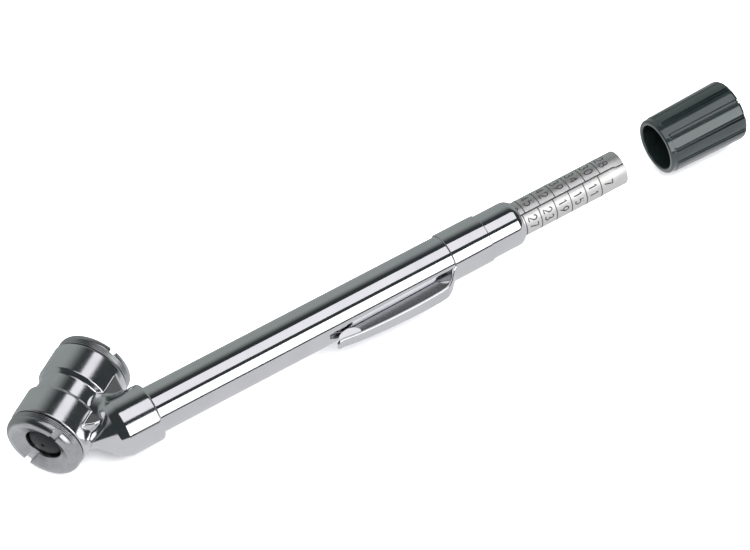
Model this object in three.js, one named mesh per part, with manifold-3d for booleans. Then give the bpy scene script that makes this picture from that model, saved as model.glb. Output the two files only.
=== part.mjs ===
// A pencil tyre pressure gauge with a two-foot chuck, lying flat.
// The indicator bar is drawn out to a reading and the cap is pulled off, clear of the bar's tip.
// Millimetres. +X runs along the barrel towards the cap, +Y to the rear foot's side, +Z up.
// While it is built, X = 0 is where the barrel leaves the chuck's collar, on the barrel's axis.
import * as THREE from 'three';
import { mergeVertices } from 'three/addons/utils/BufferGeometryUtils.js';
import Module from 'manifold-3d';

const wasm = await Module();
wasm.setup();

// ---------------------------------------------------------------- driving dimensions

const SIDES = 32; // facets round every turned piece, so that nested pieces keep an even gap
const FINE_SIDES = 16; // facets round small bores and pins
const CUT_PAST = 1; // how far a cutter runs past the face it opens
const TURN = Math.PI * 2;

const BARREL = {
  radius: 5.5, bore: 4.9, inlet: -6, shoulder: 95.4, noseRound: 2.6, mouth: 4.4,
};
const COLLAR = {
  radius: 6.9, edge: 0.8, back: -8.6, shoulderRound: 1.6, coneTip: -15.2, coneTipRadius: 1.2,
  bore: 5.6, floor: -7.5,
};
const HEAD = {
  angle: THREE.MathUtils.degToRad(33), x: -14.4, y: 12.2,
  drum: 9.25, drumEnd: 10.1, edge: 0.35, bevelOuter: 2.8, bevelInner: 2.1, waist: 8.25,
  thread: 7.3, threadFloor: 7.9, chamber: 6.2, web: 0.6, webHole: 1.8, airway: 1.4,
};
const NECK = { collarX: -6.6, collarRadius: 6.2, headRadius: 5.6 };
const RING = {
  radius: 9.15, seat: 10.35, rim: 13.5, round: 1.6, dishRadius: 7.1, dishDepth: 1.4,
  hole: 4.35, spigot: 7.0, spigotEnd: 8.2, slotWidth: 1.8, slotDepth: 1.6,
  frontLean: THREE.MathUtils.degToRad(34), rearLean: THREE.MathUtils.degToRad(40),
};
const SEAL = { nose: 3.9, apex: 11.7, domeFoot: 10.3, flange: 5.8, top: 7.8, bottom: 7.0, eye: 1.1 };
const PLUNGER = { disc: 5.6, top: 6.7, bottom: 5.8, pin: 0.7, pinTop: 11.0, stem: 1.3, stemEnd: 3.4 };
const VALVE_SPRING = { radius: 4.6, wire: 0.25, top: 5.5, bottom: 0.9, turns: 3.5 };
const GASKET = { outer: 5.2, inner: 2.5, thickness: 0.9, gap: 0.2 };
const PISTON = {
  disc: 4.7, discBack: 1.4, discFront: 3.1, boss: 3.6, face: 4.6, stem: 1.8, stemEnd: -2.6,
};
const CUP = { outer: 4.8, lip: 4.1, inner: 2.0, front: 1.2, webBack: 0.0, lipEnd: -2.2 };
const SCREW = { radius: 2.9, front: -2.8, thickness: 1.2, slotWidth: 0.7, slotDepth: 0.5 };
const MAIN_SPRING = { radius: 4.62, wire: 0.2, start: 3.4, end: 85.6, turns: 16 };
const BUSH = { outer: 4.75, inner: 4.4, start: 86, end: 94.6 };
const BAR = {
  radius: 4.25, bore: 3.9, start: 33.8, tip: 126.3, seam: 0.16, seamLean: THREE.MathUtils.degToRad(29),
};
const FOOT = { flange: 4.2, flangeBack: 33.0, flangeFront: 33.7, plug: 3.7, plugEnd: 38 };
const BAND = { outer: 5.85, inner: 5.55, start: 77.6, end: 88.0 };
const CLIP = {
  sheet: 0.6, rootWidth: 4.4, tipWidth: 3.0, fold: 0.55, flangeDepth: 2.4, flangeFrom: 0.36,
  flangeTo: 0.66, runOut: 0.01, rootX: 77.2, rootY: -5.95, kneeX: 75.4, kneeY: -7.4,
  bendX: 72.8, bendY: -8.6, crestX: 63, crestY: -8.85, tipX: 48, tipY: -8.05,
  touchX: 45.4, touchY: -7.3, lipX: 44.1, lipY: -7.6, tension: 0.5, steps: 26, trimHeight: 6,
};
const CAP = {
  mouthX: 137.2, length: 21.4, mouthRadius: 6.85, endRadius: 7.6, bore: 5.65, endWall: 2,
  rimRound: 0.4, endRound: 1.0, grooves: 12, grooveFloor: 6.95, grooveWidth: 0.9,
};

// ---------------------------------------------------------------- materials

function finish(color, roughness, metalness) {
  return new THREE.MeshStandardMaterial({ color, roughness, metalness });
}

const chrome = () => finish('#d9dadc', 0.08, 1);
const satinNickel = () => finish('#b9babd', 0.3, 1);
const springSteel = () => finish('#8f9196', 0.35, 1);
const brass = () => finish('#c2a25a', 0.3, 1);
const barMetal = () => finish('#cfd0d0', 0.25, 1);
const blackRubber = () => finish('#141516', 0.75, 0);
const blackPlastic = () => finish('#1d1e20', 0.35, 0);
const whitePlastic = () => finish('#e6e4dc', 0.5, 0);

// ---------------------------------------------------------------- solids

function solidOf(geometry) {
  const bare = geometry.clone();
  bare.deleteAttribute('normal');
  bare.deleteAttribute('uv');
  const merged = mergeVertices(bare);
  return new wasm.Manifold(new wasm.Mesh({
    numProp: 3,
    vertProperties: new Float32Array(merged.attributes.position.array),
    triVerts: new Uint32Array(merged.index.array),
  }));
}

function geometryOf(solid) {
  const mesh = solid.getMesh();
  const geometry = new THREE.BufferGeometry();
  geometry.setAttribute('position', new THREE.BufferAttribute(new Float32Array(mesh.vertProperties), 3));
  geometry.setIndex(new THREE.BufferAttribute(new Uint32Array(mesh.triVerts), 1));
  return geometry;
}

// A solid of revolution about the X axis; the profile is a list of [x, radius].
// Its flats touch the true circles from outside, and one of them faces down, so that it lies still.
function turned(profile, sides = SIDES) {
  const halfStep = Math.PI / sides;
  const grow = 1 / Math.cos(halfStep);
  const points = profile.map(([x, radius]) => new THREE.Vector2(radius * grow, x));
  return new THREE.LatheGeometry(points, sides, halfStep).rotateZ(-Math.PI / 2);
}

// A plain rod along X, for cutting bores and for pins.
function rod(radius, from, to, sides = SIDES) {
  return turned([[from, 0], [from, radius], [to, radius], [to, 0]], sides);
}

// A ring about X: [x, radius] corners of its section, given once round.
function ring(profile, sides = SIDES) {
  return turned([...profile, profile[0]], sides);
}

// Points of a circular arc in a profile, angles in degrees from +x towards +radius.
function arc(x, radius, size, fromAngle, toAngle, steps = 5) {
  return Array.from({ length: steps + 1 }, (_, i) => {
    const angle = THREE.MathUtils.degToRad(fromAngle + ((toAngle - fromAngle) * i) / steps);
    return [x + size * Math.cos(angle), radius + size * Math.sin(angle)];
  });
}

function named(name, geometry, material) {
  const mesh = new THREE.Mesh(geometry, material);
  mesh.name = name;
  return mesh;
}

// A coil along X, with its ends cut square.
class Helix extends THREE.Curve {
  constructor({ radius, start, end, turns }) {
    super();
    Object.assign(this, { radius, start, end, turns });
  }

  getPoint(t, target = new THREE.Vector3()) {
    const angle = TURN * this.turns * t;
    const x = this.start + (this.end - this.start) * t;
    return target.set(x, this.radius * Math.cos(angle), this.radius * Math.sin(angle));
  }
}

const WIRE_SIDES = 5;
const STEPS_PER_TURN = 14;

function coil({ radius, wire, start, end, turns }) {
  const section = new THREE.Shape();
  for (let i = 0; i < WIRE_SIDES; i += 1) {
    const angle = (TURN * i) / WIRE_SIDES;
    const move = i === 0 ? 'moveTo' : 'lineTo';
    section[move](wire * Math.cos(angle), wire * Math.sin(angle));
  }
  return new THREE.ExtrudeGeometry(section, {
    steps: Math.round(turns * STEPS_PER_TURN),
    bevelEnabled: false,
    extrudePath: new Helix({ radius, start: start + wire, end: end - wire, turns }),
  });
}

// ---------------------------------------------------------------- chuck casting

// Two drums with a narrow waist between them, along X and centred on the waist.
function drums() {
  const half = [
    [HEAD.bevelInner, HEAD.waist],
    [HEAD.bevelOuter, HEAD.drum],
    [HEAD.drumEnd - HEAD.edge, HEAD.drum],
    [HEAD.drumEnd, HEAD.drum - HEAD.edge],
    [HEAD.drumEnd, 0],
  ];
  const mirrored = half.map(([x, radius]) => [-x, radius]).reverse();
  return turned([...mirrored, ...half]);
}

// The collar that holds the barrel, closing to a blunt cone at the head.
function collar() {
  const { radius, edge, back, shoulderRound, coneTip, coneTipRadius } = COLLAR;
  const shoulder = arc(back, radius - shoulderRound, shoulderRound, 135, 90, 3);
  return turned([
    [coneTip, 0],
    [coneTip, coneTipRadius],
    ...shoulder,
    ...arc(-edge, radius - edge, edge, 90, 0, 3),
    [0, 0],
  ]);
}

// The neck from the collar's middle to the waist, wider at the collar.
function neck() {
  const reach = Math.hypot(HEAD.x - NECK.collarX, HEAD.y);
  const lean = Math.atan2(HEAD.y, HEAD.x - NECK.collarX);
  return turned([[0, 0], [0, NECK.collarRadius], [reach, NECK.headRadius], [reach, 0]], FINE_SIDES)
    .rotateZ(lean)
    .translate(NECK.collarX, 0, 0);
}

function toHead(geometry) {
  return geometry.rotateZ(HEAD.angle).translate(HEAD.x, HEAD.y, 0);
}

// One foot's stepped bore, from its open end down to the web between the feet.
function footBore() {
  return turned([
    [HEAD.web, 0],
    [HEAD.web, HEAD.chamber],
    [HEAD.threadFloor, HEAD.chamber],
    [HEAD.threadFloor, HEAD.thread],
    [HEAD.drumEnd + CUT_PAST, HEAD.thread],
    [HEAD.drumEnd + CUT_PAST, 0],
  ]);
}

function chuckBody() {
  const reach = Math.hypot(HEAD.x - COLLAR.floor, HEAD.y);
  const lean = Math.atan2(HEAD.y, HEAD.x - COLLAR.floor);
  const airway = rod(HEAD.airway, -CUT_PAST, reach, FINE_SIDES).rotateZ(lean).translate(COLLAR.floor, 0, 0);
  const cuts = [
    toHead(footBore()),
    toHead(footBore().rotateZ(Math.PI)),
    toHead(rod(HEAD.webHole, -HEAD.web - CUT_PAST, HEAD.web + CUT_PAST, FINE_SIDES)),
    rod(COLLAR.bore, COLLAR.floor, CUT_PAST),
    airway,
  ];
  const whole = solidOf(toHead(drums())).add(solidOf(collar())).add(solidOf(neck()));
  return geometryOf(cuts.reduce((solid, cut) => solid.subtract(solidOf(cut)), whole));
}

// ---------------------------------------------------------------- what each foot holds

// Pieces of one foot along +X, from the waist outwards. The lean is where its spanner slots point.
function retainingRing(lean) {
  const { radius, seat, rim, round, dishRadius, dishDepth, hole, spigot, spigotEnd } = RING;
  const body = ring([
    [spigotEnd, hole],
    [spigotEnd, spigot],
    [seat, spigot],
    [seat, radius],
    ...arc(rim - round, radius - round, round, 90, 0, 4),
    [rim, dishRadius],
    [rim - dishDepth, hole],
  ]);
  const slots = new THREE.BoxGeometry(2 * RING.slotDepth, RING.slotWidth, 3 * radius)
    .translate(rim, 0, 0)
    .rotateX(lean);
  return geometryOf(solidOf(body).subtract(solidOf(slots)));
}

function seal() {
  const { nose, apex, domeFoot, flange, top, bottom, eye } = SEAL;
  const rise = apex - domeFoot;
  const dome = [0.0, 0.3, 0.6, 0.85].map((part) => {
    const angle = (part * Math.PI) / 2;
    return [domeFoot + rise * Math.sin(angle), nose * Math.cos(angle)];
  });
  return ring([[bottom, eye], [bottom, flange], [top, flange], [top, nose], ...dome, [apex, eye]]);
}

function plunger() {
  const { disc, top, bottom, pin, pinTop, stem, stemEnd } = PLUNGER;
  return turned([
    [stemEnd, 0],
    [stemEnd, stem],
    [bottom, stem],
    [bottom, disc],
    [top, disc],
    [top, pin],
    [pinTop, pin],
    [pinTop, 0],
  ]);
}

function foot(name, slotLean) {
  const { radius, wire, top, bottom, turns } = VALVE_SPRING;
  const group = new THREE.Group();
  group.add(
    named(`${name}_retaining_ring`, retainingRing(slotLean), satinNickel()),
    named(`${name}_seal`, seal(), blackRubber()),
    named(`${name}_plunger`, plunger(), brass()),
    named(`${name}_plunger_spring`, coil({ radius, wire, start: bottom, end: top, turns }), springSteel()),
  );
  return group;
}

function head() {
  const group = new THREE.Group();
  const rear = foot('rear', RING.rearLean);
  const front = foot('front', -RING.frontLean);
  front.rotation.z = Math.PI;
  group.add(rear, front);
  group.rotation.z = HEAD.angle;
  group.position.set(HEAD.x, HEAD.y, 0);
  return group;
}

// ---------------------------------------------------------------- barrel and what it holds

// A drawn tube, spun in at the nose to keep the bush and guide the bar.
function barrelTube() {
  const { radius, bore, inlet, shoulder, noseRound, mouth } = BARREL;
  const wall = radius - bore;
  const centre = radius - noseRound;
  const outerEnd = THREE.MathUtils.radToDeg(Math.asin((mouth - centre) / noseRound));
  const innerEnd = THREE.MathUtils.radToDeg(Math.asin((mouth - centre) / (noseRound - wall)));
  return ring([
    [inlet, bore],
    [inlet, radius],
    ...arc(shoulder, centre, noseRound, 90, outerEnd, 5),
    ...arc(shoulder, centre, noseRound - wall, innerEnd, 90, 4),
  ]);
}

function inletGasket() {
  const back = COLLAR.floor + GASKET.gap;
  const front = back + GASKET.thickness;
  return ring([[back, GASKET.inner], [back, GASKET.outer], [front, GASKET.outer], [front, GASKET.inner]]);
}

function noseBush() {
  const { outer, inner, start, end } = BUSH;
  return ring([[start, inner], [start, outer], [end, outer], [end, inner]]);
}

function clipBand() {
  const { outer, inner, start, end } = BAND;
  return ring([[start, inner], [start, outer], [end, outer], [end, inner]]);
}

function piston() {
  const { disc, discBack, discFront, boss, face, stem, stemEnd } = PISTON;
  return turned([
    [stemEnd, 0],
    [stemEnd, stem],
    [discBack, stem],
    [discBack, disc],
    [discFront, disc],
    [discFront, boss],
    [face, boss],
    [face, 0],
  ]);
}

// A leather-pattern cup: a web round the piston's stem, and a thin lip facing the air.
function cupSeal() {
  const { outer, lip, inner, front, webBack, lipEnd } = CUP;
  return ring([
    [webBack, inner],
    [webBack, lip],
    [lipEnd, lip],
    [lipEnd, outer],
    [front, outer],
    [front, inner],
  ]);
}

function pistonScrew() {
  const { radius, front, thickness, slotWidth, slotDepth } = SCREW;
  const headPiece = rod(radius, front - thickness, front, FINE_SIDES);
  const slot = new THREE.BoxGeometry(2 * slotDepth, slotWidth, 3 * radius).translate(front - thickness, 0, 0);
  return geometryOf(solidOf(headPiece).subtract(solidOf(slot)));
}

// Sheet rolled to a tube, so a fine seam runs along its upper side, beside the scale.
function indicatorBar() {
  const { radius, bore, start, tip, seam, seamLean } = BAR;
  const tube = ring([[start, bore], [start, radius], [tip, radius], [tip, bore]]);
  const length = tip - start + 2 * CUT_PAST;
  const slit = new THREE.BoxGeometry(length, seam, radius)
    .translate((start + tip) / 2, 0, radius)
    .rotateX(seamLean);
  return geometryOf(solidOf(tube).subtract(solidOf(slit)));
}

function barFoot() {
  const { flange, flangeBack, flangeFront, plug, plugEnd } = FOOT;
  return turned([
    [flangeBack, 0],
    [flangeBack, flange],
    [flangeFront, flange],
    [flangeFront, plug],
    [plugEnd, plug],
    [plugEnd, 0],
  ]);
}

// ---------------------------------------------------------------- pocket clip

// The clip's centre line seen from above, from its root at the band to the turned-out lip.
function clipLine() {
  const stations = [
    [CLIP.rootX, CLIP.rootY],
    [CLIP.kneeX, CLIP.kneeY],
    [CLIP.bendX, CLIP.bendY],
    [CLIP.crestX, CLIP.crestY],
    [CLIP.tipX, CLIP.tipY],
    [CLIP.touchX, CLIP.touchY],
    [CLIP.lipX, CLIP.lipY],
  ];
  const points = stations.map(([x, y]) => new THREE.Vector3(x, y, 0));
  return new THREE.CatmullRomCurve3(points, false, 'catmullrom', CLIP.tension);
}

// A strip along part of the clip's line, between two offsets from it towards the tube.
function strip(line, from, to, outerOffset, innerOffset, zFrom, zTo) {
  const outer = [];
  const inner = [];
  for (let i = 0; i <= CLIP.steps; i += 1) {
    const t = from + ((to - from) * i) / CLIP.steps;
    const point = line.getPoint(t);
    const along = line.getTangent(t);
    const normal = new THREE.Vector2(along.y, -along.x);
    outer.push(new THREE.Vector2(point.x, point.y).addScaledVector(normal, outerOffset));
    inner.push(new THREE.Vector2(point.x, point.y).addScaledVector(normal, innerOffset));
  }
  const outline = new THREE.Shape([...outer, ...inner.reverse()]);
  return new THREE.ExtrudeGeometry(outline, { depth: zTo - zFrom, bevelEnabled: false })
    .translate(0, 0, zFrom);
}

// What lies outside the clip's tapering width, on the upper side.
function clipTrim() {
  const { rootX, lipX, rootWidth, tipWidth, trimHeight } = CLIP;
  const outline = new THREE.Shape([
    new THREE.Vector2(rootX + CUT_PAST, rootWidth / 2),
    new THREE.Vector2(rootX + CUT_PAST, trimHeight),
    new THREE.Vector2(lipX - CUT_PAST, trimHeight),
    new THREE.Vector2(lipX - CUT_PAST, tipWidth / 2),
  ]);
  const depth = 2 * BAND.outer;
  return new THREE.ExtrudeGeometry(outline, { depth, bevelEnabled: false }).rotateX(Math.PI / 2);
}

// Pressed sheet: a tapering back with both edges folded towards the tube.
function pocketClip() {
  const { sheet, rootWidth, tipWidth, flangeFrom, flangeTo, flangeDepth, fold } = CLIP;
  const line = clipLine();
  const half = rootWidth / 2;
  const tip = tipWidth / 2;
  const back = solidOf(strip(line, 0, 1, -sheet / 2, sheet / 2, -half, half));
  const edges = solidOf(strip(line, flangeFrom, flangeTo, 0, flangeDepth, -half, half));
  const hollowFrom = flangeFrom - CLIP.runOut;
  const hollowTo = flangeTo + CLIP.runOut;
  const depth = flangeDepth + CUT_PAST;
  const hollow = solidOf(strip(line, hollowFrom, hollowTo, sheet / 2, depth, fold - tip, tip - fold));
  const upper = solidOf(clipTrim());
  const lower = solidOf(clipTrim().rotateX(Math.PI).translate(0, -2 * BAND.outer, 0));
  return geometryOf(back.add(edges).subtract(hollow).subtract(upper).subtract(lower));
}

// ---------------------------------------------------------------- cap

// A cup that widens to its closed end. The grooves run level, so they deepen towards that end.
function protectiveCap() {
  const { mouthX, length, mouthRadius, endRadius, bore, endWall, rimRound, endRound } = CAP;
  const endX = mouthX + length;
  const cup = turned([
    [endX - endWall, 0],
    [endX - endWall, bore],
    [mouthX, bore],
    [mouthX, mouthRadius - rimRound],
    [mouthX + rimRound, mouthRadius],
    ...arc(endX - endRound, endRadius - endRound, endRound, 90, 0, 3),
    [endX, 0],
  ]);
  const grooves = Array.from({ length: CAP.grooves }, (_, i) => {
    const depth = endRadius - CAP.grooveFloor + CUT_PAST;
    return new THREE.BoxGeometry(length + 2 * CUT_PAST, CAP.grooveWidth, depth)
      .translate(mouthX + length / 2, 0, CAP.grooveFloor + depth / 2)
      .rotateX((TURN * i) / CAP.grooves);
  });
  return geometryOf(grooves.reduce((solid, cut) => solid.subtract(solidOf(cut)), solidOf(cup)));
}

// ---------------------------------------------------------------- assembly

const gauge = new THREE.Group();
gauge.add(
  named('chuck_body', chuckBody(), chrome()),
  head(),
  named('inlet_gasket', inletGasket(), blackRubber()),
  named('barrel_tube', barrelTube(), chrome()),
  named('clip_band', clipBand(), chrome()),
  named('pocket_clip', pocketClip(), chrome()),
  named('nose_bush', noseBush(), brass()),
  named('calibrated_spring', coil(MAIN_SPRING), springSteel()),
  named('piston', piston(), brass()),
  named('piston_cup_seal', cupSeal(), blackRubber()),
  named('piston_screw', pistonScrew(), springSteel()),
  named('indicator_bar', indicatorBar(), barMetal()),
  named('bar_foot', barFoot(), whitePlastic()),
  named('protective_cap', protectiveCap(), blackPlastic()),
);

// The origin is under the middle of the whole object, on the surface that it lies on.
const extent = new THREE.Box3().setFromObject(gauge);
const middle = extent.getCenter(new THREE.Vector3());
gauge.position.set(-middle.x, -middle.y, -extent.min.z);

export default gauge;
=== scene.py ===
import math

import bpy
import numpy as np
from mathutils import Matrix, Vector


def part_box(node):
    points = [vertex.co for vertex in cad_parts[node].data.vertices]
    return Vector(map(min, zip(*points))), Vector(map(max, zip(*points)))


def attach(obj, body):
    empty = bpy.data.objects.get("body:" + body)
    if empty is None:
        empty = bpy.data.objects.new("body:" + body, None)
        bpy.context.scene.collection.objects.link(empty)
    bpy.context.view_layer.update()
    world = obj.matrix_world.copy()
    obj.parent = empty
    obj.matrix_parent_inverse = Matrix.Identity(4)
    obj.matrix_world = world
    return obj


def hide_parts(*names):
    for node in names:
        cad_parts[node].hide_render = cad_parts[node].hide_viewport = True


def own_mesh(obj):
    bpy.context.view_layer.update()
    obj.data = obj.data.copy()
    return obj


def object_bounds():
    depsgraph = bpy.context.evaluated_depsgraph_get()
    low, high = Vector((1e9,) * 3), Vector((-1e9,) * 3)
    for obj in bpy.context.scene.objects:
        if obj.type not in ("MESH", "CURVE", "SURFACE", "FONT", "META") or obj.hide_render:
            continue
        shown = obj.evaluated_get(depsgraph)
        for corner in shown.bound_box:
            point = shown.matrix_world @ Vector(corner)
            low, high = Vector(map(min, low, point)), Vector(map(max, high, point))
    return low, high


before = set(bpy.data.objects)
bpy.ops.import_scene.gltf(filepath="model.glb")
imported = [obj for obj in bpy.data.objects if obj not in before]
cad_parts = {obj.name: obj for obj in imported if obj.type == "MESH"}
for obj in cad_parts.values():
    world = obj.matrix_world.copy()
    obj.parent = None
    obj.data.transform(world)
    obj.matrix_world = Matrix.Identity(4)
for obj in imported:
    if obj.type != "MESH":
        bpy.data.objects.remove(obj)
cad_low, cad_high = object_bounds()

MM = 0.001
TURN = 2 * math.pi
SIDES = 144  # facets round a turned piece
SMALL_SIDES = 96  # facets round a small piece
TUBE_SIDES = 192  # facets round the barrel and its band
WIRE_SIDES = 8  # facets round a spring's wire
CLOSED_TURNS = 0.9  # turns at each end of a spring that lie close
CLOSED_RISE = 1.2  # how far a closed turn climbs, in half wire widths
SHARP = 32  # an edge that turns more degrees than this is drawn sharp

# ---------------------------------------------------------------- sizes, in millimetres

BARREL = {"radius": 5.5, "bore": 4.9, "inlet": -6.0, "shoulder": 95.4, "nose_round": 2.6, "mouth": 4.4}
COLLAR = {"radius": 6.9, "edge": 0.8, "back": -8.1, "shoulder_round": 2.2, "shoulder": 6.2,
          "cone_tip": -15.6, "tip_radius": 0.9, "bore": 5.6, "floor": -7.5}
HEAD = {"drum": 9.25, "drum_end": 10.1, "bevel_outer": 2.85, "bevel_inner": 2.05, "waist": 8.25,
        "thread": 7.3, "thread_floor": 7.9, "chamber": 6.2, "web": 0.6, "web_hole": 1.8, "airway": 1.4}
GUSSET = {"half": 4.8, "edge": 0.45}
# The web between the rear drum and the collar, seen from above.
GUSSET_OUTLINE = [(-3.4, 11.6), (-2.9, 10.2), (-3.6, 5.2), (-7.0, 1.5), (-10.5, 0.2), (-13.4, 0.6),
                  (-17.6, 2.4), (-11.0, 8.0)]
NECK = {"collar_x": -6.6, "collar_radius": 6.0, "head_radius": 4.6}
RING = {"radius": 9.07, "seat": 10.35, "rim": 13.5, "round": 1.6, "dish_radius": 7.1, "dish_depth": 1.4,
        "hole": 4.35, "spigot": 7.0, "spigot_end": 8.2, "slot_width": 1.7, "slot_depth": 1.7,
        "front_lean": -34, "rear_lean": 40}
# Fine threads on a ring's spigot, and the fine grooves turned round its rim.
THREAD = {"start": 0.25, "pitch": 0.42, "depth": 0.22, "turns": 4}
RIM_GROOVE = {"pitch": 0.4, "half": 0.11, "depth": 0.14, "count": 3}
SEAL = {"nose": 4.15, "apex": 12.35, "dome_foot": 10.9, "flange": 5.8, "top": 7.8, "bottom": 7.0,
        "eye": 0.42}
PLUNGER = {"disc": 5.6, "top": 6.7, "bottom": 5.8, "pin": 0.35, "pin_top": 11.0, "stem": 1.3,
           "stem_end": 3.4}
VALVE_SPRING = {"radius": 4.6, "wire": 0.3, "start": 0.9, "end": 5.5, "turns": 4.5, "travel": 2.4}
GASKET = {"outer": 5.2, "inner": 2.5, "start": -7.3, "end": -6.4}
PISTON = {"disc": 4.7, "disc_back": 1.4, "disc_front": 3.1, "boss": 3.6, "face": 4.6, "stem": 1.8,
          "stem_end": -2.6}
CUP = {"outer": 4.8, "lip": 4.1, "inner": 2.0, "front": 1.2, "web_back": 0.0, "lip_end": -2.2}
SCREW = {"radius": 2.9, "front": -2.8, "thickness": 1.2, "slot_width": 0.7, "slot_depth": 0.5}
MAIN_SPRING = {"radius": 4.58, "wire": 0.25, "start": 3.4, "end": 85.6, "turns": 34, "travel": 50}
BUSH = {"outer": 4.75, "inner": 4.4, "start": 86, "end": 94.6}
BAR = {"radius": 4.25, "bore": 3.9, "start": 33.8, "tip": 126.3, "seam": 0.2, "seam_lean": 29,
       "edge": 0.14, "jog": 0.3, "jog_length": 3.0, "jog_run": 0.8, "plain_from": 40}
BAR_SIDES = 96  # facets round the bar, inside and outside
LIP_STEPS = (0, 0.15, 0.5, 1)  # shares of the seam's rounded lip
SCALE = {"pitch": 4.2, "first_lower": 118.9, "first_upper": 119.8, "line": 0.24, "digit_height": 2.2,
         "digit_width": 1.3, "digit_line": 0.3, "digit_gap": 0.6, "rows": 18, "proud": 0.012, "sunk": 0.05}
# Where the marks stand, round the bar from the seam and along it from a cell's line.
MARKS = {"line_from": 0.12, "line_to": 9.2, "number_from": 1.2, "one_figure": 1.0, "above_line": 0.95}
VALUE_STEP = 4
LOWER_FIRST = 7
UPPER_FIRST = (28, 30, 34, 39, 42, 45, 50)
FOOT = {"flange": 4.2, "flange_back": 33.0, "flange_front": 33.7, "plug": 3.7, "plug_end": 38}
BAND = {"outer": 5.85, "inner": 5.55, "start": 77.6, "end": 88.0, "edge": 0.26}
CLIP = {"sheet": 0.5, "fold": 0.5, "root_half": 2.4, "tip_half": 1.55, "flange": 3.5, "flange_lean": 12,
        "turned": 7, "inset": 0.15, "clear": 0.06}
# How the clip changes along its length. Each run is (from here, over this length), from the root
# except the tip's.
CLIP_RUNS = {"root": (0, 2.2), "curl": (0.5, 3.0), "flange": (4.4, 3.4), "tip": (0.6, 2.4)}
ROOT_FLARE = 0.9  # how much higher half the clip is where it leaves the band
ROOT_SHEET = 0.4  # the sheet's share of its thickness there
TIP_ROUND = 0.9  # length of the tip's rounded corners
TIP_SHARE = 0.65  # the very tip's height as a share of the clip's
LIP_BULGE, LIP_ROUND = 0.12, 0.2  # a flange's edge, as shares of the sheet
LEAST_FLAT, LEAST_FOLD = 0.02, 0.04  # so that no face vanishes
# The low lugs that stand from the clip's folds near its tip.
EAR = {"reach": 2.1, "start": 0.5, "end": 6.3, "lean": 17, "sheet": 0.3, "root": 0.12, "sunk": 0.16,
       "round": 0.06}
CAP = {"mouth_x": 137.2, "length": 21.4, "mouth_radius": 6.85, "end_radius": 7.6, "bore": 5.65,
       "end_wall": 2.0, "rim_round": 0.4, "end_round": 0.9, "grooves": 12, "rim_land": 1.2, "panel": 0.16,
       "panel_run": 0.5, "groove_run": 0.7}
# The moulding's inside, and the shallow round recess in its closed end. The pole is the small
# hole that the rings close on.
CAP_INSIDE = {"pole": 0.02, "corner": 0.5, "floor_edge": 0.1, "straight": 4, "draft": 0.02,
              "mouth_round": 0.3, "mouth": 0.35}
CAP_RECESS = {"edge": 3.0, "radius": 2.6, "depth": 0.12}
# Where the cap's rings have points, in degrees each side of a groove's middle.
FLUTE_STEPS = (0, 0.5, 0.9, 1.25, 1.6, 2.6, 3.7, 4.1, 4.4, 4.7, 5.5, 7.5, 10, 12.5)
# A groove's half widths and slopes in degrees, its depth at the mouth and what it gains by the end,
# and its rib's height as a share of its depth.
GROOVE = {"wall": 3.7, "wall_slope": 1.0, "rib": 0.9, "rib_slope": 0.7, "depth": 0.36, "deepens": 0.4,
          "rib_height": 0.85}

# ---------------------------------------------------------------- places, from the frame


def middle(node):
    low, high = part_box(node)
    return (low + high) / 2


tube_low, tube_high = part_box("barrel_tube")
tube_middle = (tube_low + tube_high) / 2
# Where the barrel leaves the collar, on the barrel's axis.
origin = Vector((tube_low.x - BARREL["inlet"] * MM, tube_middle.y, tube_middle.z))
head_centre = (middle("front_retaining_ring") + middle("rear_retaining_ring")) / 2
head_way = middle("rear_retaining_ring") - middle("front_retaining_ring")
head_angle = math.atan2(head_way.y, head_way.x)

MILLIMETRES = Matrix.Scale(MM, 4)
ALONG_BARREL = Matrix.Translation(origin) @ MILLIMETRES
ALONG_HEAD = Matrix.Translation(head_centre) @ Matrix.Rotation(head_angle, 4, "Z") @ MILLIMETRES
REAR_FOOT = ALONG_HEAD
FRONT_FOOT = ALONG_HEAD @ Matrix.Rotation(math.pi, 4, "Z")

# ---------------------------------------------------------------- camera

CAMERA = {"azimuth": -27.76, "elevation": 50.25, "roll": -5.45, "distance": 0.6895, "lens": 144,
          "aim_x": 61.8, "aim_y": 4.81}


def linked(name, data):
    """A new object in the scene."""
    obj = bpy.data.objects.new(name, data)
    bpy.context.scene.collection.objects.link(obj)
    return obj


def way_out(azimuth, elevation):
    """The way from the gauge to a camera or light, in degrees round from -Y and up."""
    a, e = math.radians(azimuth), math.radians(elevation)
    return Vector((math.sin(a) * math.cos(e), -math.cos(a) * math.cos(e), math.sin(e)))


def add_camera():
    back = way_out(CAMERA["azimuth"], CAMERA["elevation"])
    data = bpy.data.cameras.new("camera")
    data.lens = CAMERA["lens"]
    camera = linked("camera", data)
    aim = ALONG_BARREL @ Vector((CAMERA["aim_x"], CAMERA["aim_y"], 0))
    roll = Matrix.Rotation(math.radians(CAMERA["roll"]), 4, "Z")
    look = (-back).to_track_quat("-Z", "Y").to_matrix().to_4x4()
    camera.matrix_world = Matrix.Translation(aim + back * CAMERA["distance"]) @ look @ roll
    bpy.context.scene.camera = camera


add_camera()

# ---------------------------------------------------------------- mesh helpers


def unit(vector):
    return vector / np.linalg.norm(vector)


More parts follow.
